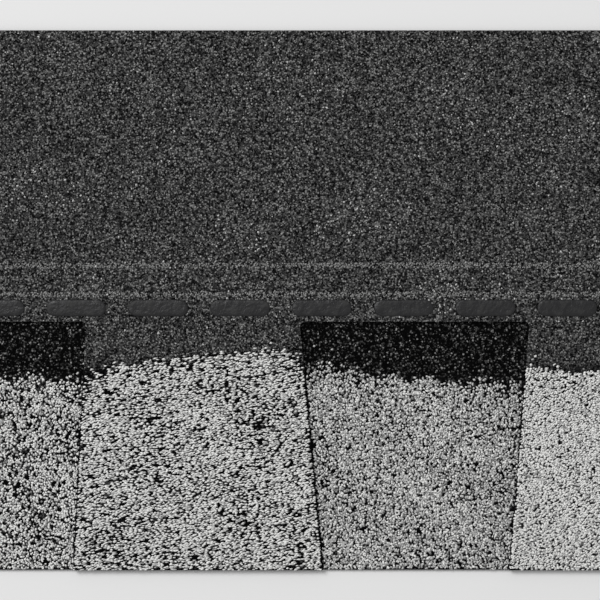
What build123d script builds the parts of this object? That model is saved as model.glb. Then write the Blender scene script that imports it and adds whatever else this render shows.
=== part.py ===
"""A laminated asphalt roof shingle, lying face up.

A granule-faced tab sheet is bonded over a backer strip. Trapezoid cutouts in the lower part of the tab
sheet leave four tabs, and the backer shows between them. Dabs of self-seal adhesive stand in a row just
above the cutouts, and a release film lies flush in the back. Past the backer's upper edge the tab sheet
drapes down until its headlap lies on the same level as the backer.

X runs along the course, Y up the roof slope from the butt edge, and Z away from the deck.
The origin is the middle of the underside. All sizes are in millimetres.
"""

from build123d import *
import math
import os
from typing import NamedTuple

# Tab sheet
sheet_length = 1000.0
sheet_height = 337.0
sheet_thickness = 2.5
drape_run = 80.0  # how far the sheet takes to come down from the backer to the deck

# Cutouts, which start a little above the 143 mm that a laid course leaves exposed
cutout_height = 155.0
cutout_corner_radius = 3.0

# Backer strip
backer_thickness = 2.5

# Self-seal adhesive
sealant_clearance = 3.0  # from the top of the cutouts to the row of dabs
dab_width = 11.0
dab_length = 38.0
dab_height = 1.0
dab_bevel = 0.5
dab_spacing = 13.0  # bare sheet between two dabs
dab_end_margin = 8.0

# Release film
film_width = 32.0
film_thickness = 0.1
film_cover = 6.5  # backer left above the film


class Tab(NamedTuple):
    """One tab of the cutting drum's pattern.

    Widths are at the butt edge. A flare is how far a side edge leans outwards for each millimetre
    down towards the butt edge.
    """

    cutout_before: float
    width: float
    left_flare: float
    right_flare: float


# The pattern goes once round the cutting drum, and repeats along a longer sheet.
drum_pattern = [
    Tab(cutout_before=105.0, width=132.0, left_flare=0.075, right_flare=0.035),
    Tab(cutout_before=104.0, width=155.5, left_flare=0.053, right_flare=0.093),
    Tab(cutout_before=116.5, width=141.0, left_flare=0.081, right_flare=0.040),
    Tab(cutout_before=98.0, width=148.0, left_flare=0.088, right_flare=0.045),
]
end_cut = 47.0  # how much of the pattern's first cutout belongs to the sheet before this one

# Heights up the slope that follow from the sizes above
sealant_centre = cutout_height + sealant_clearance + dab_width / 2
# In a bundle every other shingle is turned round, so the film faces its neighbour's sealant there.
film_centre = sheet_height - sealant_centre
backer_height = film_centre + film_width / 2 + film_cover

overrun = 20.0  # how far cutting shapes reach past what they cut


def draped_section():
    """The sheet's cross-section up the slope.

    It is flat on the backer, comes down in an S of two tangent arcs, and is flat again on the deck.
    """
    bend = 2 * math.atan(backer_thickness / drape_run)
    radius = drape_run / (2 * math.sin(bend))
    half_bend = bend / 2
    crest = backer_height  # where the sheet leaves the backer
    landing = backer_height + drape_run
    middle = (backer_height + drape_run / 2, backer_thickness / 2)

    def on_crest(angle, offset):
        """A point of the first arc, `offset` above the sheet's underside, after turning by `angle`."""
        reach = radius + offset
        return (crest + reach * math.sin(angle), backer_thickness - radius + reach * math.cos(angle))

    def on_landing(angle, offset):
        """A point of the second arc, `offset` above the sheet's underside, `angle` before it lies flat."""
        reach = radius - offset
        return (landing - reach * math.sin(angle), radius - reach * math.cos(angle))

    top = sheet_thickness
    inflection = (middle[0] + top * math.sin(bend), middle[1] + top * math.cos(bend))
    outline = [
        Line((0, backer_thickness), (crest, backer_thickness)),
        ThreePointArc((crest, backer_thickness), on_crest(half_bend, 0), middle),
        ThreePointArc(middle, on_landing(half_bend, 0), (landing, 0)),
        Line((landing, 0), (sheet_height, 0)),
        Line((sheet_height, 0), (sheet_height, top)),
        Line((sheet_height, top), (landing, top)),
        ThreePointArc((landing, top), on_landing(half_bend, top), inflection),
        ThreePointArc(inflection, on_crest(half_bend, top), (crest, backer_thickness + top)),
        Line((crest, backer_thickness + top), (0, backer_thickness + top)),
        Line((0, backer_thickness + top), (0, backer_thickness)),
    ]
    return make_face(outline)


def cutout(left, right, left_flare, right_flare):
    """One cutout seen from above, from `left` to `right` at the butt edge and wider towards its top."""
    top_left = left - left_flare * cutout_height
    top_right = right + right_flare * cutout_height
    trapezoid = Polygon(
        (left + left_flare * overrun, -overrun),
        (right - right_flare * overrun, -overrun),
        (top_right, cutout_height),
        (top_left, cutout_height),
        align=None,
    )
    top_corners = trapezoid.vertices().sort_by(Axis.Y)[-2:]
    return fillet(top_corners, cutout_corner_radius)


def cutouts():
    """Every cutout of the drum pattern that the sheet's length takes in."""
    found = []
    left = -end_cut
    turn = 0
    while left < sheet_length:
        tab = drum_pattern[turn % len(drum_pattern)]
        tab_before = drum_pattern[turn % len(drum_pattern) - 1]
        right = left + tab.cutout_before
        found.append(cutout(left, right, tab_before.right_flare, tab.left_flare))
        left = right + tab.width
        turn += 1
    return found


def tab_sheet():
    """The upper ply, with its tabs."""
    section = Plane.YZ * draped_section()
    sheet = extrude(section, amount=sheet_length, dir=(1, 0, 0))
    for outline in cutouts():
        sheet -= extrude(outline, amount=backer_thickness + sheet_thickness + overrun)
    return sheet


def film_band(thickness):
    """A band the length of the shingle, where the release film lies."""
    return Pos(0, film_centre - film_width / 2, 0) * Box(
        sheet_length, film_width, thickness, align=Align.MIN
    )


def backer_strip():
    """The lower ply, a plain strip with the release film pressed flush into its back."""
    strip = Box(sheet_length, backer_height, backer_thickness, align=Align.MIN)
    return strip - film_band(film_thickness)


def sealant_dabs():
    """The row of adhesive dabs, centred along the sheet."""
    pitch = dab_length + dab_spacing
    room = sheet_length - 2 * dab_end_margin
    count = int((room + dab_spacing) // pitch)
    dab = extrude(SlotOverall(dab_length, dab_width), amount=dab_height)
    dab = chamfer(dab.edges().group_by(Axis.Z)[-1], dab_bevel)
    first = sheet_length / 2 - pitch * (count - 1) / 2
    seat = backer_thickness + sheet_thickness
    return Compound([Pos(first + pitch * i, sealant_centre, seat) * dab for i in range(count)])


pieces = {
    "tab_sheet": tab_sheet(),
    "backer_strip": backer_strip(),
    "sealant_dabs": sealant_dabs(),
    "release_film": film_band(film_thickness),
}
os.makedirs("parts", exist_ok=True)
to_origin = Pos(-sheet_length / 2, -sheet_height / 2, 0)
for name, piece in pieces.items():
    export_step(to_origin * piece, f"parts/{name}.step")
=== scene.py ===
"""Looks of a laminated asphalt shingle, built around its fixed frame.

The frame gives the two plies, the row of sealant and the release film at their real size. Here each
granule that is pressed into their faces is a crushed stone of its own, laid as the granule machine drops
them: one blend of colours to a tab, dark granules along the top of each cutout, and fine plain ones on the
headlap. The plies get their asphalt, cut edges and sanded back, the sealant its beads and the film its
haze.

X runs along the course, Y up the roof slope and Z away from the deck, in metres. Sizes that a shingle
maker would give are in millimetres, and MM turns them into metres.
"""

import logging
import math
from dataclasses import dataclass
from enum import Enum
from functools import partial
from typing import Any, Callable, NamedTuple, Optional

import bpy
import numpy as np
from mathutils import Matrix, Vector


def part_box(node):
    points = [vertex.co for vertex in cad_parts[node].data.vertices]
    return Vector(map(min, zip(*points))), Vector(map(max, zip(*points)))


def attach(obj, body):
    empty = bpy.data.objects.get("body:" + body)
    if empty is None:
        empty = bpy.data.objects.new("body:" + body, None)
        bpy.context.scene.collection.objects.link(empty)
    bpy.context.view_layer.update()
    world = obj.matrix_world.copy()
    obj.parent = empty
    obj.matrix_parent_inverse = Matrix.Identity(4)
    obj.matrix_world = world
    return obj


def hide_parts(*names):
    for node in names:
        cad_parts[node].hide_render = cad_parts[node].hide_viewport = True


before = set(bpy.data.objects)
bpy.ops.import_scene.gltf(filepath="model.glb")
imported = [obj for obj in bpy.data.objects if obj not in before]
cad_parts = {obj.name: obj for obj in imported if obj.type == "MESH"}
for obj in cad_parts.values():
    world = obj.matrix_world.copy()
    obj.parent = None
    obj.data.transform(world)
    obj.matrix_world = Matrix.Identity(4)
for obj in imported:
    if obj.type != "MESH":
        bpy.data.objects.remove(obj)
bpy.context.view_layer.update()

MM = 0.001
BODY = "root"
log = logging.getLogger("shingle")

Colour = tuple[float, float, float, float]
Pair = tuple[float, float]
Place = tuple[float, float, float]
Values = np.ndarray
Random = np.random.Generator
Material = bpy.types.Material
Object = bpy.types.Object
Socket = bpy.types.NodeSocket
AddNode = Callable[..., bpy.types.Node]


def linear(hex_colour: str) -> Colour:
    """Turns an sRGB hex colour into linear light, by the curve of the sRGB standard.

    Args:
        hex_colour: Six hex digits, with or without a leading #.

    Returns:
        Red, green and blue in linear light, and an alpha of 1.
    """
    digits = hex_colour.lstrip("#")
    channels = [int(digits[i : i + 2], 16) / 255 for i in (0, 2, 4)]
    red, green, blue = (c / 12.92 if c <= 0.04045 else ((c + 0.055) / 1.055) ** 2.4 for c in channels)
    return (red, green, blue, 1.0)


def add_node(
    tree: bpy.types.NodeTree, kind: str, inputs: Optional[dict] = None, **settings: Any
) -> bpy.types.Node:
    """Adds a node with its settings and links.

    Args:
        tree: The node tree that gets the node.
        kind: Blender's name for the type of node.
        inputs: For each input, a value or the output that feeds it. Inputs that share one name, such as
            a Math node's, go by number.
        **settings: The node's own settings, such as operation.

    Returns:
        The new node.
    """
    node = tree.nodes.new(kind)
    for name, value in settings.items():
        setattr(node, name, value)
    for key, value in (inputs or {}).items():
        if isinstance(value, Socket):
            tree.links.new(value, node.inputs[key])
        else:
            node.inputs[key].default_value = value
    return node


def start_nodes(owner: bpy.types.ID) -> AddNode:
    """Gives a material or a world an empty node tree.

    Args:
        owner: The material or world.

    Returns:
        add_node, for its tree.
    """
    owner.use_nodes = True
    owner.node_tree.nodes.clear()
    return partial(add_node, owner.node_tree)


def add_object(name: str, data: bpy.types.ID) -> Object:
    """Makes an object and links it to the scene.

    Args:
        name: The object's name.
        data: Its mesh, lamp or camera.

    Returns:
        The new object.
    """
    item = bpy.data.objects.new(name, data)
    bpy.context.scene.collection.objects.link(item)
    return item


class Grain(Enum):
    """The colours of granule that the hoppers hold, from dark to light, and the nail line's paint."""

    BLACK = "black"
    CHARCOAL = "charcoal"
    GREY = "grey"
    SILVER = "silver"
    WHITE = "white"
    LINE_PAINT = "line_paint"


GRAINS = tuple(Grain)


@dataclass(frozen=True)
class CeramicGranule:
    """Crushed basalt with a fired ceramic coat, about 1.5 mm across.

    The eye gets dull angular stones, each a little lighter or darker than the next, with a fine speckle
    where the coat is thin. Fired silicate has an IOR of 1.5 and, on a broken face, almost no gloss.
    """

    grain: Grain
    colour: str
    spread: float = 0.12  # how much lighter or darker one stone is than the next
    speck_mm: float = 0.35  # grit of the coat
    speck_depth: float = 0.14  # how much lighter or darker the grit is
    roughness: float = 0.8

    def make(self) -> Material:
        """Builds the material.

        Returns:
            The finished material.
        """
        material = bpy.data.materials.new(f"ceramic_coated_basalt_{self.grain.value}")
        add = start_nodes(material)
        place = add("ShaderNodeTexCoord").outputs["Object"]
        shade = add("ShaderNodeAttribute", attribute_name=GranuleBed.SHADE).outputs["Fac"]
        stone_value = add(
            "ShaderNodeMapRange", {"Value": shade, "To Min": 1 - self.spread, "To Max": 1 + self.spread}
        ).outputs[0]
        speck = add(
            "ShaderNodeTexNoise",
            {"Vector": place, "Scale": 1 / (self.speck_mm * MM), "Detail": 2.0, "Roughness": 0.6},
        ).outputs["Fac"]
        dark, light = 1 - self.speck_depth, 1 + self.speck_depth
        speck_value = add(
            "ShaderNodeMapRange",
            {"Value": speck, "From Min": 0.3, "From Max": 0.7, "To Min": dark, "To Max": light},
        ).outputs[0]
        value = add("ShaderNodeMath", {0: stone_value, 1: speck_value}, operation="MULTIPLY").outputs[0]
        colour = add("ShaderNodeHueSaturation", {"Value": value, "Color": linear(self.colour)}).outputs[0]
        bump = add("ShaderNodeBump", {"Height": speck, "Strength": 0.5, "Distance": 0.12 * MM}).outputs[0]
        shader = add(
            "ShaderNodeBsdfPrincipled",
            {
                "Base Color": colour, "Roughness": self.roughness, "IOR": 1.5,
                "Specular IOR Level": 0.025, "Normal": bump,
            },
        )
        add("ShaderNodeOutputMaterial", {"Surface": shader.outputs[0]})
        return material


GRAIN_FINISHES = (
    CeramicGranule(Grain.BLACK, "#070707"),
    CeramicGranule(Grain.CHARCOAL, "#454545", spread=0.3),
    CeramicGranule(Grain.GREY, "#929291", spread=0.2),
    CeramicGranule(Grain.SILVER, "#c8c8c7", spread=0.14),
    CeramicGranule(Grain.WHITE, "#f0f0ee", spread=0.06),
    CeramicGranule(Grain.LINE_PAINT, "#8f8f8e", spread=0.25),
)


@dataclass(frozen=True)
class AsphaltPly:
    """Filled asphalt over a glass mat, die cut, with silica sand rolled into its back.

    The eye gets black asphalt between the granules, fine slag granules on the headlap, dark cut edges with
    pale ends of glass fibre along the middle, and a sandy grey-brown back. Asphalt has an IOR of about 1.6,
    and its filler, slag and sand leave it almost no gloss.
    """

    name: str
    middle_mm: float  # height of the glass mat in the ply
    slag_from_mm: float  # above the butt edge, where fine slag granules are dropped
    slag_feather_mm: float = 10.0
    asphalt: str = "#070708"
    filler: str = "#1c1c1d"
    ripple_mm: float = 0.6
    slag_dark: str = "#0d0d0e"
    slag_light: str = "#8d8d8c"
    slag_scarcity: float = 2.0  # how few of its granules are light
    slag_mm: float = 0.95  # the real slag is 0.5 mm to 1 mm, and its coarse end is what shows
    fibre: str = "#6d6a63"
    fibre_mm: float = 0.35  # single glass fibres are too fine to show, so these are bundles of them
    mat_mm: float = 0.5
    sand: str = "#7c7468"
    sand_mm: float = 0.5
    level: float = 0.5  # rise of the normal that parts face and back from the cut edges

    def make(self) -> Material:
        """Builds the material, which tells top, edge and back apart by the way they face.

        Returns:
            The finished material.
        """
        material = bpy.data.materials.new(f"filled_asphalt_on_glass_mat_{self.name}")
        add = start_nodes(material)
        place = add("ShaderNodeTexCoord").outputs["Object"]
        axes = add("ShaderNodeSeparateXYZ", {"Vector": place}).outputs
        facing = add("ShaderNodeNewGeometry").outputs["True Normal"]
        up = add("ShaderNodeSeparateXYZ", {"Vector": facing}).outputs["Z"]
        steepness = add("ShaderNodeMath", {0: up}, operation="ABSOLUTE").outputs[0]
        is_edge = add("ShaderNodeMath", {0: steepness, 1: self.level}, operation="LESS_THAN").outputs[0]
        is_back = add("ShaderNodeMath", {0: up, 1: -self.level}, operation="LESS_THAN").outputs[0]
        slag_starts = layout.butt + self.slag_from_mm * MM
        slag_full = slag_starts + self.slag_feather_mm * MM
        slag_share = add(
            "ShaderNodeMapRange", {"Value": axes["Y"], "From Min": slag_starts, "From Max": slag_full}
        ).outputs[0]
        asphalt, ripple = self.bare_asphalt(add, place)
        slag, dome = self.slag(add, place)
        edge = self.cut_edge(add, place, axes["Z"], asphalt)
        back, grit = self.sanded_back(add, place)
        colour = asphalt
        for share, part in ((slag_share, slag), (is_edge, edge), (is_back, back)):
            mixed = add("ShaderNodeMix", {"Factor": share, "A": colour, "B": part}, data_type="RGBA")
            colour = mixed.outputs["Result"]
        rough = add("ShaderNodeMath", {0: ripple, 1: grit}, operation="ADD").outputs[0]
        relief = add("ShaderNodeMix", {"Factor": slag_share, "A": rough, "B": dome}).outputs["Result"]
        bump = add("ShaderNodeBump", {"Height": relief, "Strength": 0.8, "Distance": 0.3 * MM}).outputs[0]
        shader = add(
            "ShaderNodeBsdfPrincipled",
            {
                "Base Color": colour, "Roughness": 0.75, "IOR": 1.6,
                "Specular IOR Level": 0.015, "Normal": bump,
            },
        )
        add("ShaderNodeOutputMaterial", {"Surface": shader.outputs[0]})
        return material

    def bare_asphalt(self, add: AddNode, place: Socket) -> tuple[Socket, Socket]:
        """Black asphalt with grey mineral filler.

        Args:
            add: Adds a node to the material.
            place: Where on the ply.

        Returns:
            Its colour, and its ripple for the bump.
        """
        ripple = add(
            "ShaderNodeTexNoise", {"Vector": place, "Scale": 1 / (self.ripple_mm * MM), "Detail": 3.0}
        ).outputs["Fac"]
        share = add("ShaderNodeMapRange", {"Value": ripple, "From Min": 0.45, "From Max": 0.75}).outputs[0]
        mixed = add(
            "ShaderNodeMix", {"Factor": share, "A": linear(self.asphalt), "B": linear(self.filler)},
            data_type="RGBA",
        )
        return mixed.outputs["Result"], ripple

    def slag(self, add: AddNode, place: Socket) -> tuple[Socket, Socket]:
        """Fine slag granules, rolled in side by side, each with painted shade towards its edge.

        Args:
            add: Adds a node to the material.
            place: Where on the ply.

        Returns:
            Their colour, and their domes for the bump.
        """
        cells = add("ShaderNodeTexVoronoi", {"Vector": place, "Scale": 1 / (self.slag_mm * MM)}).outputs
        tone = add("ShaderNodeSeparateColor", {"Color": cells["Color"]}).outputs["Red"]
        light = add("ShaderNodeMath", {0: tone, 1: self.slag_scarcity}, operation="POWER").outputs[0]
        # Painted shade: each slag granule goes darker towards its edge, where the crevices between granules
        # lie.
        painted_crevice_shade = add(
            "ShaderNodeMapRange",
            {"Value": cells["Distance"], "From Min": 0.35, "From Max": 0.65, "To Min": 1.0, "To Max": 0.25},
        ).outputs[0]
        lit = add("ShaderNodeMath", {0: light, 1: painted_crevice_shade}, operation="MULTIPLY").outputs[0]
        mixed = add(
            "ShaderNodeMix", {"Factor": lit, "A": linear(self.slag_dark), "B": linear(self.slag_light)},
            data_type="RGBA",
        )
        dome = add("ShaderNodeMath", {0: 1.0, 1: cells["Distance"]}, operation="SUBTRACT").outputs[0]
        return mixed.outputs["Result"], dome

    def cut_edge(self, add: AddNode, place: Socket, height: Socket, asphalt: Socket) -> Socket:
        """A die-cut edge, with the ends of the glass fibres along its middle.

        Args:
            add: Adds a node to the material.
            place: Where on the ply.
            height: How high on the ply.
            asphalt: Colour of the bare asphalt.

        Returns:
            The edge's colour.
        """
        fibres = add("ShaderNodeTexVoronoi", {"Vector": place, "Scale": 1 / (self.fibre_mm * MM)}).outputs
        fibre_end = add(
            "ShaderNodeMapRange", {"Value": fibres["Distance"], "From Min": 0.32, "From Max": 0.2}
        ).outputs[0]
        middle = self.middle_mm * MM
        off_middle = add("ShaderNodeMath", {0: height, 1: middle}, operation="SUBTRACT").outputs[0]
        away = add("ShaderNodeMath", {0: off_middle}, operation="ABSOLUTE").outputs[0]
        near_middle = add(
            "ShaderNodeMapRange", {"Value": away, "From Min": self.mat_mm * MM, "From Max": 0.0}
        ).outputs[0]
        share = add("ShaderNodeMath", {0: fibre_end, 1: near_middle}, operation="MULTIPLY").outputs[0]
        return add(
            "ShaderNodeMix", {"Factor": share, "A": asphalt, "B": linear(self.fibre)}, data_type="RGBA"
        ).outputs["Result"]

    def sanded_back(self, add: AddNode, place: Socket) -> tuple[Socket, Socket]:
        """Silica sand that keeps the back from sticking.

        Args:
            add: Adds a node to the material.
            place: Where on the ply.

        Returns:
            The sand's colour, and its grit for the bump.
        """
        grit = add("ShaderNodeTexVoronoi", {"Vector": place, "Scale": 1 / (self.sand_mm * MM)}).outputs
        tone = add("ShaderNodeSeparateColor", {"Color": grit["Color"]}).outputs["Red"]
        value = add("ShaderNodeMapRange", {"Value": tone, "To Min": 0.25, "To Max": 1.2}).outputs[0]
        sand = add("ShaderNodeHueSaturation", {"Value": value, "Color": linear(self.sand)}).outputs[0]
        return sand, grit["Distance"]


@dataclass(frozen=True)
class SelfSealAsphalt:
    """Modified asphalt, run hot from a roll and left to set as a bead.

    The eye gets a jet black bead with a soft satin gloss and a few dull patches of dust. Asphalt has an IOR
    of about 1.63, and a bead that has set in the open is dulled a little by handling.
    """

    colour: str = "#08080a"
    dust: str = "#2c2c2b"
    wave_mm: float = 5.0
    pebble_mm: float = 1.7  # the granules below show through

    def make(self) -> Material:
        """Builds the material.

        Returns:
            The finished material.
        """
        material = bpy.data.materials.new("modified_asphalt_bead_hot_laid")
        add = start_nodes(material)
        place = add("ShaderNodeTexCoord").outputs["Object"]
        ripple = add(
            "ShaderNodeTexNoise", {"Vector": place, "Scale": 1 / (self.wave_mm * MM), "Detail": 3.0}
        ).outputs["Fac"]
        pebble = add(
            "ShaderNodeTexNoise", {"Vector": place, "Scale": 1 / (self.pebble_mm * MM), "Detail": 2.0}
        ).outputs["Fac"]
        dusty = add(
            "ShaderNodeMapRange", {"Value": ripple, "From Min": 0.52, "From Max": 0.72, "To Max": 0.6}
        ).outputs[0]
        mixed = add(
            "ShaderNodeMix", {"Factor": dusty, "A": linear(self.colour), "B": linear(self.dust)},
            data_type="RGBA",
        )
        roughness = add(
            "ShaderNodeMapRange",
            {"Value": ripple, "From Min": 0.4, "From Max": 0.7, "To Min": 0.4, "To Max": 0.65},
        ).outputs[0]
        relief = add("ShaderNodeMath", {0: ripple, 1: pebble}, operation="ADD").outputs[0]
        bump = add("ShaderNodeBump", {"Height": relief, "Strength": 0.8, "Distance": 0.5 * MM}).outputs[0]
        shader = add(
            "ShaderNodeBsdfPrincipled",
            {
                "Base Color": mixed.outputs["Result"], "Roughness": roughness, "IOR": 1.63,
                "Specular IOR Level": 0.22, "Normal": bump,
            },
        )
        add("ShaderNodeOutputMaterial", {"Surface": shader.outputs[0]})
        return material


@dataclass(frozen=True)
class ReleaseFilmFinish:
    """Polyester film with a silicone coat, pressed flat into the warm asphalt.

    The eye gets a hazy grey band with faint lengthwise creases, and the sand below pricks through it.
    Polyester has an IOR of about 1.6 and is glossy, and the silicone dulls it a little.
    """

    haze: str = "#8b8d91"
    show_through: str = "#4c4d50"
    crease_mm: float = 10.0
    crease_run: float = 0.12  # how fast the creases change along the film, beside across it
    sand_mm: float = 0.9
    prick: float = 0.3  # depth of the sand beside that of the creases

    def make(self) -> Material:
        """Builds the material.

        Returns:
            The finished material.
        """
        material = bpy.data.materials.new("silicone_coated_polyester_film")
        add = start_nodes(material)
        place = add("ShaderNodeTexCoord").outputs["Object"]
        run = (self.crease_run, 1.0, 1.0)
        along = add("ShaderNodeVectorMath", {0: place, 1: run}, operation="MULTIPLY").outputs[0]
        crease = add(
            "ShaderNodeTexNoise",
            {"Vector": along, "Scale": 1 / (self.crease_mm * MM), "Detail": 5.0, "Roughness": 0.6},
        ).outputs["Fac"]
        sand = add("ShaderNodeTexVoronoi", {"Vector": place, "Scale": 1 / (self.sand_mm * MM)}).outputs
        relief = add(
            "ShaderNodeMath", {0: sand["Distance"], 1: -self.prick, 2: crease}, operation="MULTIPLY_ADD"
        ).outputs[0]
        share = add("ShaderNodeMapRange", {"Value": relief, "From Min": 0.15, "From Max": 0.55}).outputs[0]
        mixed = add(
            "ShaderNodeMix", {"Factor": share, "A": linear(self.show_through), "B": linear(self.haze)},
            data_type="RGBA",
        )
        bump = add("ShaderNodeBump", {"Height": relief, "Strength": 0.5, "Distance": 0.3 * MM}).outputs[0]
        shader = add(
            "ShaderNodeBsdfPrincipled",
            {"Base Color": mixed.outputs["Result"], "Roughness": 0.28, "IOR": 1.6, "Normal": bump},
        )
        add("ShaderNodeOutputMaterial", {"Surface": shader.outputs[0]})
        return material


@dataclass(frozen=True)
class GranuleBlend:
    """What one drop of granules is made of, as shares by count, from its darkest grain to its lightest."""

    MOST = 0.9999  # the highest chance, short of 1 so that no grain without a share is drawn

    shares: tuple[tuple[Grain, float], ...]

    def draw(self, chances: Values) -> Values:
        """Draws a grain for each chance.

        Args:
            chances: From 0, the darkest grain, to 1, the lightest.

        Returns:
            The number of each grain in GRAINS.
        """
        limits = np.cumsum([share for _, share in self.shares])
        which = np.searchsorted(limits / limits[-1], chances.clip(0, self.MOST))
        return np.array([GRAINS.index(grain) for grain, _ in self.shares])[which]


def blend(black: float, charcoal: float, grey: float, silver: float, white: float) -> GranuleBlend:
    """Makes a blend of the five roofing colours.

    Args:
        black: Share of black granules.
        charcoal: Share of charcoal granules.
        grey: Share of mid grey granules.
        silver: Share of silver granules.
        white: Share of white granules.

    Returns:
        The blend.
    """
    return GranuleBlend(tuple(zip(GRAINS, (black, charcoal, grey, silver, white))))


HEADLAP_BLEND = blend(0.40, 0.42, 0.17, 0.01, 0.0)
# The shadow line's dark granules, made as dark as the band on a laid roof, where the course above also
# casts its shadow: partly real colour, partly painted shade.
SHADOW_BLEND = blend(0.82, 0.12, 0.06, 0.0, 0.0)


@dataclass(frozen=True)
class CutEdge:
    """A straight cut edge that runs up the slope, leaning as it goes."""

    foot: float
    lean: float
    butt: float

    def x_at(self, y: Values) -> Values:
        """Where the edge is at a height up the slope."""
        return self.foot + self.lean * (y - self.butt)


@dataclass(frozen=True)
class ShingleLayout:
    """Where things are on the shingle, read from the fixed frame."""

    TINY = 0.01 * MM  # places nearer than this are one
    DIGITS = 7  # of a place in metres that are told apart
    FLARE = 25 * MM  # the most that an edge leans away from its foot
    UPWARD = 0.9  # the least rise of the normal of a face that looks up

    left: float
    right: float
    butt: float
    top: float
    tab_z: float
    backer_z: float
    cutout_top: float
    edges: tuple[CutEdge, ...]
    profile_y: Values
    profile_z: Values

    @staticmethod
    def vertices(node: str) -> Values:
        """Reads the vertices of a node of the frame.

        Args:
            node: The node's name.

        Returns:
            Their places, one row each.
        """
        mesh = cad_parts[node].data
        places = np.empty(len(mesh.vertices) * 3)
        mesh.vertices.foreach_get("co", places)
        return places.reshape(-1, 3)

    @classmethod
    def read(cls) -> "ShingleLayout":
        """Reads the layout from the frame's meshes.

        Returns:
            The layout.
        """
        low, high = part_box("tab_sheet")
        sheet = cls.vertices("tab_sheet")
        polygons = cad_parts["tab_sheet"].data.polygons
        upward = {v for face in polygons if face.normal.z > cls.UPWARD for v in face.vertices}
        at_left = [v for v in upward if sheet[v, 0] < low.x + cls.TINY]
        crown = {round(sheet[v, 1], cls.DIGITS): sheet[v, 2] for v in at_left}
        heights = sorted(crown)
        cutout_top = heights[0]  # the ends of the sheet are cutouts, so its left end starts there
        face = sheet[sheet[:, 2] > high.z - cls.TINY]
        feet = np.unique(face[face[:, 1] < low.y + cls.TINY][:, 0].round(cls.DIGITS))
        lower = face[(face[:, 1] > low.y + cls.TINY) & (face[:, 1] < cutout_top - cls.TINY)]
        edges = []
        for foot in feet:
            near = lower[np.abs(lower[:, 0] - foot) < cls.FLARE]
            shoulder = near[near[:, 1].argmin()]  # where the straight edge meets its rounded corner
            lean = (shoulder[0] - foot) / (shoulder[1] - low.y)
            edges.append(CutEdge(float(foot), float(lean), low.y))
        return cls(
            left=low.x,
            right=high.x,
            butt=low.y,
            top=high.y,
            tab_z=high.z,
            backer_z=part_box("backer_strip")[1].z,
            cutout_top=cutout_top,
            edges=tuple(edges),
            profile_y=np.array(heights),
            profile_z=np.array([crown[y] for y in heights]),
        )

    def sheet_face(self, y: Values) -> Values:
        """Height of the tab sheet's face, which drapes down past the backer."""
        return np.interp(y, self.profile_y, self.profile_z)

    def backer_face(self, y: Values) -> Values:
        """Height of the backer's face, which is level."""
        return np.full(len(y), self.backer_z)

    def openings(self) -> list[tuple[CutEdge, CutEdge]]:
        """The two sides of each opening, with the shingle's ends as the outermost sides."""
        sides = (CutEdge(self.left, 0.0, self.butt), *self.edges, CutEdge(self.right, 0.0, self.butt))
        return list(zip(sides[::2], sides[1::2]))

    def tabs(self) -> list[tuple[CutEdge, CutEdge]]:
        """The two sides of each tab."""
        return list(zip(self.edges[::2], self.edges[1::2]))


layout = ShingleLayout.read()


@dataclass(frozen=True)
class Cloud:
    """Smooth random hills and hollows."""

    seed: int
    size_mm: float  # about how far apart they stand
    waves: int = 14
    lengths: Pair = (0.6, 1.7)  # of the shortest and longest wave, beside the size

    def at(self, x: Values, y: Values) -> Values:
        """Measures the hills.

        Args:
            x: Places along the course.
            y: Places up the slope.

        Returns:
            Their height at each place, with a standard deviation of about 1.
        """
        rng = np.random.default_rng(self.seed)
        total = np.zeros(len(x))
        for _ in range(self.waves):
            length = self.size_mm * MM * rng.uniform(*self.lengths)
            heading, start = rng.uniform(0, math.tau, 2)
            total += np.sin(math.tau * (x * math.cos(heading) + y * math.sin(heading)) / length + start)
        return total / math.sqrt(self.waves / 2)


END_WANDER = Cloud(43, 18.0)
BLEND_DRIFT = Cloud(71, 46.0)
STONE_CLUSTERS = Cloud(72, 5.5)
HEADLAP_DRIFT = Cloud(73, 60.0)
LAY_WANDER = Cloud(74, 60.0)


class Sown(NamedTuple):
    """What lies at each place of a bed."""

    grains: Values  # the number of each grain in GRAINS
    sizes: Values  # how large each stone is beside the bed's usual size
    combed: Values  # whether the bed's comb holds there
    kept: Values  # whether a stone lies there at all


class Comb(NamedTuple):
    """How the granule machine combs the stones that it drops."""

    stretch: float = 1.0  # how much longer they are one way than the other
    lay: float = 0.0  # from 0, stones turned anyhow, to 1, all combed one way
    lean_deg: float = 0.0  # which way that is, up to the right from the course


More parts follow.
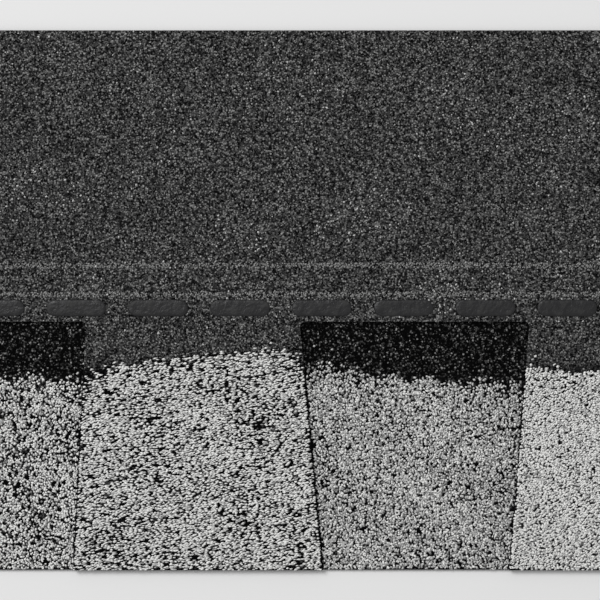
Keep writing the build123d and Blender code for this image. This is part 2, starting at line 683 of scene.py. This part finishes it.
@dataclass(frozen=True)
class Drop:
    """One tab or opening's own granules, and where they end below the dark or plain ones above."""

    blend: GranuleBlend
    ends_mm: tuple[float, float, float]  # above the butt edge, at its left, middle and right
    comb: Comb = Comb()
    mottle: float = 0.05  # how far its blend drifts over a few centimetres
    cluster: float = 0.06  # how far it drifts from stone to stone
    painted_rim_shade: float = 0.0  # painted shade: how far it drifts to dark along its borders
    rim_reach_mm: float = 12.0
    end_dark: float = 0.3  # how far it drifts to dark at its end
    end_reach_mm: float = 4.0
    painted_corner_shade: float = 0.0  # painted shade: how far it drifts to dark where its end meets its sides
    corner_reach_mm: Pair = (3.5, 10.0)  # away from the side, and down along it
    gaps_mm: Pair = (0.0, 0.0)  # bare asphalt along its left and right, or below 0, stones past the edge

    def end(self, across: Values) -> Values:
        """Where the drop ends.

        Args:
            across: From 0 at the drop's left side to 1 at its right.

        Returns:
            Y of its end, on the parabola through its three heights.
        """
        left, middle, right = self.ends_mm
        slope = 4 * middle - 3 * left - right
        curve = 2 * (left + right - 2 * middle)
        return layout.butt + MM * (left + slope * across + curve * across**2)

    def drift(self, x: Values, y: Values, clearance: Values, below_end: Values) -> Values:
        """How far the blend drifts to its light end, or to its dark one below zero.

        Args:
            x: X of each stone.
            y: Y of each stone.
            clearance: Each stone's distance inside the drop's borders.
            below_end: Each stone's distance below the drop's end.

        Returns:
            The drift, as a share of the blend.
        """
        slow, quick = BLEND_DRIFT.at(x, y), STONE_CLUSTERS.at(x, y)
        # Painted shade: stones drift to dark along the drop's borders and where its end meets its sides.
        rim = self.painted_rim_shade * np.exp(-clearance / (self.rim_reach_mm * MM))
        below_end = below_end.clip(0, None)
        fade = self.end_dark * np.exp(-below_end / (self.end_reach_mm * MM))
        beside, down = self.corner_reach_mm
        corner = self.painted_corner_shade * np.exp(-clearance / (beside * MM) - below_end / (down * MM))
        return self.mottle * slow + self.cluster * quick - rim - fade - corner


@dataclass
class GranuleBed:
    """One bed of granules: each stone a crushed, flat-topped chip, with its narrow end in the asphalt."""

    SHADE = "stone_shade"
    FACETS = ((0, 1, 2), (0, 2, 3), (1, 0, 4), (2, 1, 4), (3, 2, 4), (0, 3, 4))  # its top, then its sides
    TOP = 4  # corners round a stone's top, before the one deep in the asphalt

    name: str
    slot: str
    seed: int
    low: Pair
    high: Pair
    clearance: Callable[[Values, Values], Values]  # distance inside the cut edges
    ground: Callable[[Values], Values]  # height of the ply's face
    sow: Callable[[Values, Values, Random], Sown]
    comb: Comb = Comb()
    pitch_mm: float = 1.24
    shake: float = 0.42  # how far stones lie off the honeycomb, as a share of the pitch
    reach: float = 0.72  # a stone's radius, as a share of the pitch
    spread: float = 0.14  # of the stones' sizes
    sizes: Pair = (0.62, 1.35)  # the least and most of them
    corner_turn: float = 0.42  # how far a corner is turned off the square, in radians
    corner_reach: Pair = (0.8, 1.2)
    slenderness: Pair = (1.0, 1.7)  # of single stones, length over width
    wander: float = 0.2  # how far the lay turns over a few centimetres, in radians
    sink_mm: float = 0.7
    height_mm: float = 0.56
    dark_height: float = 0.62  # of black and charcoal stones, which lie deeper, beside the others'
    heights: Pair = (0.6, 1.0)  # of a stone, and again of each of its corners
    rim_mm: Pair = (-0.25, 0.5)  # from the cut edge to the outermost stones, at random
    hold_mm: float = 0.2  # the least that a stone's middle lies inside its rim
    pits_per_m2: float = 350.0
    pit_mm: float = 1.3

    def make(self, materials: dict[Grain, Material]) -> None:
        """Builds the bed as one mesh and fastens it to the shingle.

        Args:
            materials: The finish of each granule colour.
        """
        rng = np.random.default_rng(self.seed)
        x, y, rim = self.scatter(rng)
        sown = self.sow(x, y, rng)
        x, y, rim = (values[sown.kept] for values in (x, y, rim))
        sown = Sown(*(values[sown.kept] for values in sown))
        corners = self.stones(x, y, sown, rng)
        self.trim(corners, x, y, rim)
        facets = np.array(self.FACETS)
        loops = (len(corners[0]) * np.arange(len(x))[:, None] + facets.ravel()).ravel()
        mesh = bpy.data.meshes.new(self.name)
        mesh.vertices.add(corners[:, :, 0].size)
        mesh.vertices.foreach_set("co", corners.ravel().astype(np.float32))
        mesh.loops.add(len(loops))
        mesh.loops.foreach_set("vertex_index", loops.astype(np.int32))
        mesh.polygons.add(len(loops) // 3)
        mesh.polygons.foreach_set("loop_start", np.arange(0, len(loops), 3, dtype=np.int32))
        used, slots = np.unique(sown.grains, return_inverse=True)
        for number in used:
            mesh.materials.append(materials[GRAINS[number]])
        mesh.polygons.foreach_set("material_index", np.repeat(slots, len(facets)).astype(np.int32))
        mesh.update(calc_edges=True)
        shades = np.repeat(rng.uniform(0, 1, len(x)), len(corners[0])).astype(np.float32)
        mesh.attributes.new(self.SHADE, "FLOAT", "POINT").data.foreach_set("value", shades)
        self.lay_out_map(mesh, corners.reshape(-1, 3), loops)
        bed = add_object(self.name, mesh)
        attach(bed, BODY)
        log.info("%s: %d granules, %d triangles", self.name, len(x), len(mesh.polygons))

    def scatter(self, rng: Random) -> tuple[Values, Values, Values]:
        """Places the stones on a shaken honeycomb.

        Args:
            rng: The bed's random numbers.

        Returns:
            X and Y of each stone, and how near it may come to a cut edge.
        """
        pitch = self.pitch_mm * MM * math.sqrt(self.comb.stretch)
        row_pitch = self.pitch_mm * MM * math.sqrt(0.75 / self.comb.stretch)  # a honeycomb's, squashed
        columns = np.arange(int((self.high[0] - self.low[0]) / pitch) + 3)[None, :]
        rows = np.arange(int((self.high[1] - self.low[1]) / row_pitch) + 3)[:, None]
        x = self.low[0] + pitch * (columns - 0.5 + 0.5 * (rows % 2))
        y = self.low[1] + row_pitch * (rows - 0.5) + 0 * x
        shake = rng.uniform(-self.shake, self.shake, (2, *x.shape))
        x, y = (x + shake[0] * pitch).ravel(), (y + shake[1] * row_pitch).ravel()
        area = (self.high[0] - self.low[0]) * (self.high[1] - self.low[1])
        for pit_x, pit_y in rng.uniform(self.low, self.high, (int(area * self.pits_per_m2), 2)):
            away = np.hypot(x - pit_x, y - pit_y) > self.pit_mm * MM
            x, y = x[away], y[away]
        rim = rng.uniform(*self.rim_mm, len(x)) * MM
        kept = self.clearance(x, y) > rim + self.hold_mm * MM
        for at, low, high in ((x, self.low[0], self.high[0]), (y, self.low[1], self.high[1])):
            kept &= (at >= low) & (at < high)
        return x[kept], y[kept], rim[kept]

    def stones(self, x: Values, y: Values, sown: Sown, rng: Random) -> Values:
        """Shapes the stones.

        Args:
            x: X of each stone.
            y: Y of each stone.
            sown: What each one is.
            rng: The bed's random numbers.

        Returns:
            Five corners for each stone: four round its top and one deep in the asphalt.
        """
        count = len(x)
        sizes = sown.sizes[:, None]
        lay = np.where(sown.combed, self.comb.lay, 0.0)[:, None]
        slender = np.sqrt(np.where(sown.combed, self.comb.stretch, 1.0))[:, None]
        size = self.pitch_mm * MM * self.reach * rng.normal(1.0, self.spread, (count, 1)).clip(*self.sizes)
        size *= sizes
        ring = np.radians([0, 90, 180, 270]) + rng.uniform(0, math.tau, (count, 1))
        ring = ring + rng.uniform(-self.corner_turn, self.corner_turn, (count, self.TOP))
        reach = size * rng.uniform(*self.corner_reach, (count, self.TOP))
        across, up_slope = reach * np.cos(ring), reach * np.sin(ring)
        long = np.sqrt(rng.uniform(*self.slenderness, (count, 1)))
        turn = (1 - lay) * rng.uniform(-math.pi / 2, math.pi / 2, (count, 1))
        turn += lay * self.wander * LAY_WANDER.at(x, y)[:, None]
        cos, sin = np.cos(turn), np.sin(turn)
        along = (across * cos + up_slope * sin) * long
        beside = (up_slope * cos - across * sin) / long
        length = (along * cos - beside * sin) * slender
        width = (along * sin + beside * cos) / slender
        lean = math.radians(self.comb.lean_deg)
        corners = np.empty((count, self.TOP + 1, 3))
        top, tip = corners[:, : self.TOP], corners[:, self.TOP]
        tip[:, 0], tip[:, 1], tip[:, 2] = x, y, self.ground(y) - self.sink_mm * MM
        top[:, :, 0] = x[:, None] + length * math.cos(lean) - width * math.sin(lean)
        top[:, :, 1] = y[:, None] + length * math.sin(lean) + width * math.cos(lean)
        low_lying = np.where(sown.grains < GRAINS.index(Grain.GREY), self.dark_height, 1.0)[:, None]
        rise = self.height_mm * MM * rng.uniform(*self.heights, (count, 1)) * low_lying * sizes**0.5
        top[:, :, 2] = self.ground(y)[:, None] + rise * rng.uniform(*self.heights, (count, self.TOP))
        return corners

    def trim(self, corners: Values, x: Values, y: Values, rim: Values) -> None:
        """Shears off what stands out past the cut edges, as the die does.

        Args:
            corners: The stones' corners, which are moved in.
            x: X of each stone.
            y: Y of each stone.
            rim: How near each stone may come to a cut edge.
        """
        least = 1e-9  # keeps the division sound where a corner is no nearer the edge than the middle
        for i in range(len(corners[0])):
            corner = corners[:, i, :2]
            inside = self.clearance(x, y) - rim
            beyond = self.clearance(corner[:, 0], corner[:, 1]) - rim
            share = np.where(beyond < 0, inside / np.maximum(inside - beyond, least), 1.0)
            corner[:, 0] = x + (corner[:, 0] - x) * share
            corner[:, 1] = y + (corner[:, 1] - y) * share
        corners[:, :, 0] = corners[:, :, 0].clip(layout.left, layout.right)
        corners[:, :, 1] = corners[:, :, 1].clip(layout.butt, layout.top)

    def lay_out_map(self, mesh: bpy.types.Mesh, places: Values, loops: Values) -> None:
        """Gives the bed a flat map seen from above, so that neighbours share a texture's space well.

        Args:
            mesh: The bed's mesh.
            places: Its vertices.
            loops: The vertex of each face corner.
        """
        low, high = np.array(self.low), np.array(self.high)
        flat = (places[:, :2] - low) / (high - low)
        layer = mesh.uv_layers.new(name="OFBake")
        layer.data.foreach_set("uv", flat[loops].clip(0, 1).ravel().astype(np.float32))


@dataclass(frozen=True)
class Sowing:
    """How one drop of granules lies between two sides, with other granules past its end."""

    drop: Drop
    left: CutEdge
    right: CutEdge
    beyond: GranuleBlend
    feather_mm: float
    beyond_size: float
    beyond_cover: float  # share of the places past its end that hold a coarse stone
    wander_mm: float = 0.9  # of its end
    middle_feather: float = 0.5  # in the middle of its end, beside feather_mm
    side_feather: float = 1.3  # how much is added to that towards its sides
    stray: float = 0.8  # how far stones stray past its end, as a share of the feather

    def clearance(self, x: Values, y: Values) -> Values:
        """Measures the distance inside the butt edge and the two sides, or the gaps beside them.

        Args:
            x: X of each place.
            y: Y of each place.

        Returns:
            The distance to the nearest of them, below zero outside.
        """
        left = self.left.x_at(y) + self.drop.gaps_mm[0] * MM
        right = self.right.x_at(y) - self.drop.gaps_mm[1] * MM
        return np.minimum.reduce([x - left, right - x, y - layout.butt])

    def opening_clearance(self, x: Values, y: Values) -> Values:
        """Distance inside an opening, its top included."""
        return np.minimum(self.clearance(x, y), layout.cutout_top - y)

    def corners(self) -> tuple[Pair, Pair]:
        """Finds the ground that it takes, up to the top of the cutouts.

        Returns:
            Its low and high corner.
        """
        ends = np.array([layout.butt, layout.cutout_top])
        low, high = float(self.left.x_at(ends).min()), float(self.right.x_at(ends).max())
        return (low, layout.butt), (high, layout.cutout_top)

    def sow(self, x: Values, y: Values, rng: Random) -> Sown:
        """Draws what lies at each place.

        Args:
            x: X of each place.
            y: Y of each place.
            rng: The bed's random numbers.

        Returns:
            What lies there.
        """
        left, right = self.left.x_at(y), self.right.x_at(y)
        across = (x - left) / (right - left)
        end = self.drop.end(across) + END_WANDER.at(x, y) * self.wander_mm * MM
        feather = self.feather_mm * MM * (self.middle_feather + self.side_feather * (2 * across - 1) ** 2)
        beyond = y + rng.laplace(0, self.stray, len(y)) * feather > end
        chances = rng.uniform(0, 1, len(x))
        own = self.drop.blend.draw(chances + self.drop.drift(x, y, self.clearance(x, y), end - y))
        grains = np.where(beyond, self.beyond.draw(chances), own)
        kept = ~beyond | (rng.uniform(0, 1, len(x)) < self.beyond_cover)
        return Sown(grains, np.where(beyond, self.beyond_size, 1.0), ~beyond, kept)


@dataclass
class TabSheet:
    """The upper ply: four tabs and the headlap."""

    drops: tuple[Drop, ...]
    tab_seed: int = 100
    feather_mm: float = 1.6
    fine_size: float = 0.72  # headlap granules beside the tabs' own
    fine_sizes: Pair = (0.8, 1.2)  # the least and most of them on the headlap, beside that
    headlap_seed: int = 200
    headlap_beds: int = 4  # side by side, so that none has too many triangles
    headlap_cover: float = 0.34
    headlap_drift: float = 0.05  # how far its blend drifts over a few centimetres
    nail_lines_mm: tuple[float, ...] = (172.0, 190.0)
    nail_line_width_mm: float = 3.0
    nail_line_cover: float = 0.6

    def make(self, granules: dict[Grain, Material], ply: Material) -> None:
        """Dresses the ply.

        Args:
            granules: The finish of each granule colour.
            ply: The finish of the ply itself.
        """
        dress(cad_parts["tab_sheet"], ply)
        for number, (drop, (left, right)) in enumerate(zip(self.drops, layout.tabs()), 1):
            sowing = Sowing(
                drop, left, right, HEADLAP_BLEND, self.feather_mm, self.fine_size, self.headlap_cover
            )
            GranuleBed(
                f"tab_{number}_granules", "tab_granules", self.tab_seed + number, *sowing.corners(),
                sowing.clearance, layout.sheet_face, sowing.sow, drop.comb,
            ).make(granules)
        width = (layout.right - layout.left) / self.headlap_beds
        for number in range(self.headlap_beds):
            low = (layout.left + width * number, layout.cutout_top)
            GranuleBed(
                f"headlap_{number + 1}_granules", "tab_granules", self.headlap_seed + number,
                low, (low[0] + width, layout.top), self.headlap_clearance, layout.sheet_face,
                self.sow_headlap, pits_per_m2=0.0,
            ).make(granules)

    def headlap_clearance(self, x: Values, y: Values) -> Values:
        """Measures the distance inside the sheet's outer edges and the tops of the cutouts.

        Args:
            x: X of each place.
            y: Y of each place.

        Returns:
            The distance to the nearest of them, below zero outside.
        """
        over_opening = np.zeros(len(x), bool)
        for left, right in layout.openings():
            over_opening |= (x > left.x_at(y)) & (x < right.x_at(y))
        foot = np.where(over_opening, y - layout.cutout_top, math.inf)
        return np.minimum.reduce([x - layout.left, layout.right - x, layout.top - y, foot])

    def sow_headlap(self, x: Values, y: Values, rng: Random) -> Sown:
        """Draws a few coarse stones among the slag, and painted ones along the nail lines.

        Args:
            x: X of each place.
            y: Y of each place.
            rng: The bed's random numbers.

        Returns:
            What lies there.
        """
        painted = np.zeros(len(x), bool)
        for line in self.nail_lines_mm:
            painted |= np.abs(y - layout.butt - line * MM) < self.nail_line_width_mm / 2 * MM
        painted &= rng.uniform(0, 1, len(x)) < self.nail_line_cover
        plain = HEADLAP_BLEND.draw(rng.uniform(0, 1, len(x)) + self.headlap_drift * HEADLAP_DRIFT.at(x, y))
        grains = np.where(painted, GRAINS.index(Grain.LINE_PAINT), plain)
        kept = painted | (rng.uniform(0, 1, len(x)) < self.headlap_cover)
        sizes = self.fine_size * rng.uniform(*self.fine_sizes, len(x))
        return Sown(grains, sizes, np.zeros(len(x), bool), kept)


@dataclass
class BackerStrip:
    """The lower ply, which shows in the openings between the tabs."""

    drops: tuple[Drop, ...]
    seed: int = 300
    feather_mm: float = 2.6
    shadow_size: float = 0.75  # the dark granules beside the openings' own
    shadow_cover: float = 0.35
    rim_mm: Pair = (-0.3, 0.9)

    def make(self, granules: dict[Grain, Material], ply: Material) -> None:
        """Dresses the ply.

        Args:
            granules: The finish of each granule colour.
            ply: The finish of the ply itself.
        """
        dress(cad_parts["backer_strip"], ply)
        for number, (drop, (left, right)) in enumerate(zip(self.drops, layout.openings()), 1):
            sowing = Sowing(
                drop, left, right, SHADOW_BLEND, self.feather_mm, self.shadow_size, self.shadow_cover
            )
            GranuleBed(
                f"opening_{number}_granules", "backer_granules", self.seed + number, *sowing.corners(),
                sowing.opening_clearance, layout.backer_face, sowing.sow, drop.comb, rim_mm=self.rim_mm,
            ).make(granules)


@dataclass
class SealantRow:
    """The row of self-seal beads, each run hot onto the granules, where it slumped and set."""

    node: str = "sealant_dabs"
    points: int = 72  # round a bead
    profile: tuple[Pair, ...] = (
        (1.0, 0.0), (0.99, 0.28), (0.95, 0.55), (0.87, 0.76),
        (0.74, 0.89), (0.56, 0.95), (0.34, 0.96), (0.12, 0.96),
    )  # how wide the bead is at each height, both as shares
    crowns: Pair = (0.9, 1.0)  # height of the lowest and highest bead, as shares of the dab's
    uneven: float = 0.06  # how far its outline comes in, as a share of its half width
    uneven_waves: tuple[int, ...] = (2, 3, 5, 8, 13)  # round half a bead
    lump_mm: float = 4.5  # lumps on its face, where it sank in between the granules
    lump_rise: float = 0.05
    seed: int = 401

    def make(self, finish: Material) -> None:
        """Builds the beads as one mesh, in place of the plain dabs.

        Args:
            finish: The beads' finish.
        """
        low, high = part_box(self.node)
        rng = np.random.default_rng(self.seed)
        corners: list[Place] = []
        faces: list[tuple[int, ...]] = []
        dabs = self.dabs()
        for along in dabs:
            self.add_bead(corners, faces, along, (low.y, high.y), (low.z, high.z), rng)
        mesh = bpy.data.meshes.new("sealant_beads")
        mesh.from_pydata(corners, [], faces)
        mesh.materials.append(finish)
        mesh.shade_smooth()
        beads = add_object("sealant_beads", mesh)
        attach(beads, BODY)
        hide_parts(self.node)
        log.info("sealant_beads: %d beads, %d faces", len(dabs), len(faces))

    def dabs(self) -> list[Pair]:
        """Finds the plain dabs, from the faces that chain across each one.

        Returns:
            Where each of them starts and stops along the course.
        """
        places = layout.vertices(self.node)[:, 0]
        spans = sorted(
            (min(places[v] for v in face.vertices), max(places[v] for v in face.vertices))
            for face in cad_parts[self.node].data.polygons
        )
        found = [spans[0]]
        for start, stop in spans[1:]:
            if start > found[-1][1] + MM:
                found.append((start, stop))
            else:
                found[-1] = (found[-1][0], max(found[-1][1], stop))
        return found

    def add_bead(
        self, corners: list[Place], faces: list[tuple[int, ...]], along: Pair, beside: Pair, height: Pair,
        rng: Random,
    ) -> None:
        """Adds one bead to the row.

        Args:
            corners: The row's corners so far.
            faces: Its faces so far.
            along: Where the bead's length starts and stops.
            beside: Where its width starts and stops.
            height: Its foot and crown.
            rng: The row's random numbers.
        """
        half_width = (beside[1] - beside[0]) / 2
        middle_y = (beside[0] + beside[1]) / 2
        first_centre, last_centre = along[0] + half_width, along[1] - half_width
        straight, bend = last_centre - first_centre, math.pi * half_width
        step = 2 * (straight + bend) / self.points
        # Point k faces point twin - k across the spine. Twin is odd, so that no point faces itself.
        twin = int((2 * straight + bend) / step - 1) // 2 * 2 + 1
        walk = np.arange(self.points) * step + (2 * straight + bend - twin * step) / 2
        back = walk >= straight + bend  # there along one side and round the end, then back along the other
        lap = walk - back * (straight + bend)
        spine = np.where(back, last_centre - lap.clip(0, straight), first_centre + lap.clip(0, straight))
        heading = (lap - straight).clip(0, bend) / half_width + back * math.pi - math.pi / 2
        turns = walk / (straight + bend) * math.pi
        waves = [np.sin(k * turns + rng.uniform(0, math.tau)) for k in self.uneven_waves]
        reach = half_width * (1 - self.uneven * (1 + sum(waves) / len(waves)))
        first = len(corners)
        crown = rng.uniform(*self.crowns)
        for width, rise in self.profile:
            ring_x = spine + reach * np.cos(heading) * width
            ring_y = middle_y + reach * np.sin(heading) * width
            swell = 1 + self.lump_rise * Cloud(self.seed, self.lump_mm).at(ring_x, ring_y)
            rise_here = (rise * crown * swell).clip(0, 1)
            ring_z = height[0] + (height[1] - height[0]) * rise_here
            corners.extend(zip(ring_x.tolist(), ring_y.tolist(), ring_z.tolist()))
        rings = len(self.profile)
        for ring in range(rings - 1):
            base = first + ring * self.points
            for i in range(self.points):
                after = (i + 1) % self.points
                faces.append((base + i, base + after, base + self.points + after, base + self.points + i))
        top = first + (rings - 1) * self.points
        for i in range(self.points // 2 - 1):
            here, there = twin // 2 + 1 + i, twin // 2 - i
            strip = (here, here + 1, there - 1, there)
            faces.append(tuple(top + point % self.points for point in strip))
        faces.append(tuple(range(first + self.points - 1, first - 1, -1)))


def dress(node: Object, material: Material) -> None:
    """Puts one finish on a node of the frame.

    Args:
        node: The node.
        material: Its finish.
    """
    if not node.material_slots:
        node.data.materials.append(material)
    for slot in node.material_slots:
        slot.link = "OBJECT"
        slot.material = material
    log.info("%s: %s", node.name, material.name)


@dataclass
class Studio:
    """A pale floor, soft light from up the slope, and a camera straight above, as in the photograph."""

    view_mm: float = 374.0
    centre_mm: Pair = (-64.6, 0.0)
    lens_mm: float = 100.0
    sensor_mm: float = 36.0
    clip: Pair = (0.01, 50.0)  # the nearest and farthest that the camera sees
    floor_colour: str = "#e4e4e4"
    floor_reach: float = 12.0
    sky_colour: str = "#ffffff"
    sky: float = 0.45
    seen_sky: float = 0.86
    key_watts: float = 205.0
    key_size: float = 2.2
    key_place: Place = (-2.4, 2.3, 4.3)

    def make(self) -> None:
        """Builds the floor, the lights and the camera."""
        self.floor()
        self.lights()
        self.camera()

    def floor(self) -> None:
        """Lays a matt painted floor, far wider than any view."""
        material = bpy.data.materials.new("matt_painted_floor")
        add = start_nodes(material)
        shader = add(
            "ShaderNodeBsdfPrincipled",
            {"Base Color": linear(self.floor_colour), "Roughness": 0.9, "Specular IOR Level": 0.1},
        )
        add("ShaderNodeOutputMaterial", {"Surface": shader.outputs[0]})
        far = self.floor_reach
        corners = [(-far, -far, 0), (far, -far, 0), (far, far, 0), (-far, far, 0)]
        mesh = bpy.data.meshes.new("floor")
        mesh.from_pydata(corners, [], [(0, 1, 2, 3)])
        mesh.materials.append(material)
        floor = add_object("floor", mesh)

    def lights(self) -> None:
        """Sets up an even sky and one large soft lamp up the slope."""
        world = bpy.data.worlds.new("studio")
        bpy.context.scene.world = world
        add = start_nodes(world)
        rays = add("ShaderNodeLightPath").outputs
        seen = rays["Is Camera Ray"]
        for mirrored in (rays["Is Glossy Ray"], rays["Is Transmission Ray"]):
            seen = add("ShaderNodeMath", {0: seen, 1: mirrored}, operation="MAXIMUM").outputs[0]
        strength = add(
            "ShaderNodeMapRange", {"Value": seen, "To Min": self.sky, "To Max": self.seen_sky}
        ).outputs[0]
        background = add("ShaderNodeBackground", {"Color": linear(self.sky_colour), "Strength": strength})
        add("ShaderNodeOutputWorld", {"Surface": background.outputs[0]})
        lamp = bpy.data.lights.new("key", "AREA")
        lamp.shape, lamp.size, lamp.energy = "SQUARE", self.key_size, self.key_watts
        key = add_object("key", lamp)
        key.location = self.key_place
        key.rotation_mode = "QUATERNION"
        key.rotation_quaternion = (-key.location).to_track_quat("-Z", "Y")

    def camera(self) -> None:
        """Sets up a long lens looking straight down, up the slope to the top of the picture."""
        data = bpy.data.cameras.new("camera")
        data.lens, data.sensor_width = self.lens_mm, self.sensor_mm
        data.clip_start, data.clip_end = self.clip
        camera = add_object("camera", data)
        distance = self.view_mm * MM * self.lens_mm / self.sensor_mm
        camera.location = (self.centre_mm[0] * MM, self.centre_mm[1] * MM, layout.tab_z + distance)
        bpy.context.scene.camera = camera
        bpy.context.scene.view_settings.view_transform = "Standard"


TAB_DROPS = (
    Drop(blend(0.44, 0.08, 0.03, 0.10, 0.35), (131.0, 128.0, 132.0), mottle=0.09, cluster=0.09),
    # Tab 2 is given painted shade where its end meets its sides.
    Drop(
        blend(0.30, 0.07, 0.03, 0.11, 0.49), (123.5, 134.0, 136.5), Comb(1.75, 0.8, 8.5), painted_corner_shade=0.6
    ),
    Drop(
        blend(0.08, 0.04, 0.03, 0.17, 0.68), (127.5, 122.5, 127.0), Comb(1.25, 0.5, 21.0),
        mottle=0.03, cluster=0.03, gaps_mm=(-0.15, 0.0),
    ),
    Drop(blend(0.48, 0.12, 0.03, 0.10, 0.27), (126.0, 130.0, 129.0), mottle=0.06, cluster=0.08),
)
OPENING_DROPS = (
    Drop(blend(0.36, 0.08, 0.05, 0.18, 0.33), (124.0, 122.0, 120.0), gaps_mm=(0.3, 0.0)),
    Drop(blend(0.30, 0.08, 0.06, 0.22, 0.34), (121.0, 120.5, 118.5), mottle=0.06, gaps_mm=(0.3, 0.0)),
    # Opening 3 is given painted shade along its borders and where its end meets its sides.
    Drop(
        blend(0.15, 0.06, 0.13, 0.40, 0.26), (129.5, 119.0, 117.5),
        mottle=0.04, painted_rim_shade=0.12, painted_corner_shade=0.5, gaps_mm=(0.3, -0.5),
    ),
    # Opening 4 is given painted shade along its borders.
    Drop(
        blend(0.08, 0.04, 0.05, 0.34, 0.49), (125.0, 122.0, 124.0),
        mottle=0.06, painted_rim_shade=0.25, gaps_mm=(0.3, 0.0),
    ),
    Drop(blend(0.16, 0.07, 0.10, 0.30, 0.37), (122.0, 121.0, 125.0), gaps_mm=(0.3, 0.0)),
)


def main() -> None:
    """Builds every piece in order."""
    logging.basicConfig(level=logging.INFO, format="%(name)s: %(message)s")
    granules = {finish.grain: finish.make() for finish in GRAIN_FINISHES}
    tab_ply = AsphaltPly("tab_sheet", middle_mm=3.7, slag_from_mm=122.0)
    TabSheet(TAB_DROPS).make(granules, tab_ply.make())
    # The backer's sparse dark slag under the shadow line is partly painted shade, made as dark as the cast
    # shadow of the course above.
    backer_ply = AsphaltPly(
        "backer_strip", middle_mm=1.25, slag_from_mm=114.0, slag_dark="#030303", slag_light="#858584",
        slag_scarcity=8.0,
    )
    BackerStrip(OPENING_DROPS).make(granules, backer_ply.make())
    SealantRow().make(SelfSealAsphalt().make())
    dress(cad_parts["release_film"], ReleaseFilmFinish().make())
    Studio().make()


if __name__ == "__main__":
    main()
